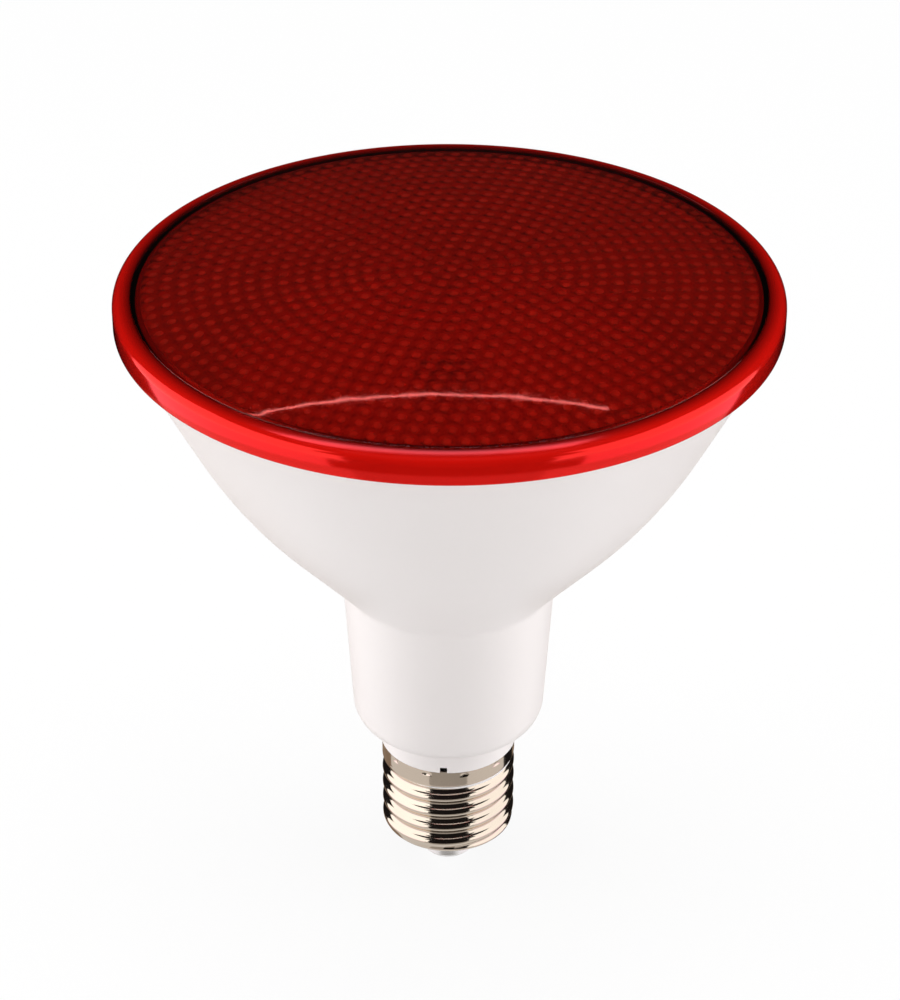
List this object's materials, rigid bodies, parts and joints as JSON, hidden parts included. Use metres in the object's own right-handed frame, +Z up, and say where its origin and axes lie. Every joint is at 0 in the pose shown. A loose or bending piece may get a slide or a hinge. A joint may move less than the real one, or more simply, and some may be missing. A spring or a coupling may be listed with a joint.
{
  "type": "led par bulb",
  "caption": "Reflector LED lamp with a red stippled lens, a white moulded housing and a nickel-plated screw cap.",
  "frame": {"origin": "lowest point of the centre contact, on the lamp's axis", "axes": "+Z up the lamp's axis from the cap to the lens, -Y towards the viewer, +X to the viewer's right"},
  "size_m": [0.1214, 0.1214, 0.1332],
  "materials": {
    "lens_red": "glossy, see-through red",
    "seal_rubber": "matt",
    "housing_white": "satin",
    "pan_aluminium": "brushed",
    "pad_grey": "matt",
    "board_white": "satin",
    "led_yellow": "satin",
    "connector_white": "satin",
    "screw_steel": "bright",
    "board_green": "satin",
    "ferrite_black": "matt",
    "tape_yellow": "satin",
    "can_dark": "satin",
    "film_orange": "satin",
    "chip_black": "matt",
    "varistor_blue": "satin",
    "fuse_tan": "satin",
    "lead_red": "satin",
    "lead_black": "satin",
    "shell_nickel": "polished nickel plate",
    "insulator_black": "glossy",
    "contact_nickel": "satin nickel plate"
  },
  "bodies": {
    "root": {"lens_cover": "lens_red", "lens_seal": "seal_rubber", "housing": "housing_white", "heat_sink": "pan_aluminium", "wire_grommet": "seal_rubber", "thermal_pad": "pad_grey", "led_board": "board_white", "led_packages": "led_yellow", "board_connector": "connector_white", "board_screws": "screw_steel", "driver_board": "board_green", "transformer_core": "ferrite_black", "transformer_winding": "tape_yellow", "input_capacitor": "can_dark", "output_capacitor": "can_dark", "film_capacitor": "film_orange", "choke": "ferrite_black", "bridge_rectifier": "chip_black", "control_chip": "chip_black", "varistor": "varistor_blue", "fuse_resistor": "fuse_tan", "live_lead": "lead_red", "neutral_lead": "lead_black", "positive_lead": "lead_red", "negative_lead": "lead_black", "cap_shell": "shell_nickel", "cap_insulator": "insulator_black", "centre_contact": "contact_nickel"}
  },
  "joints": []
}
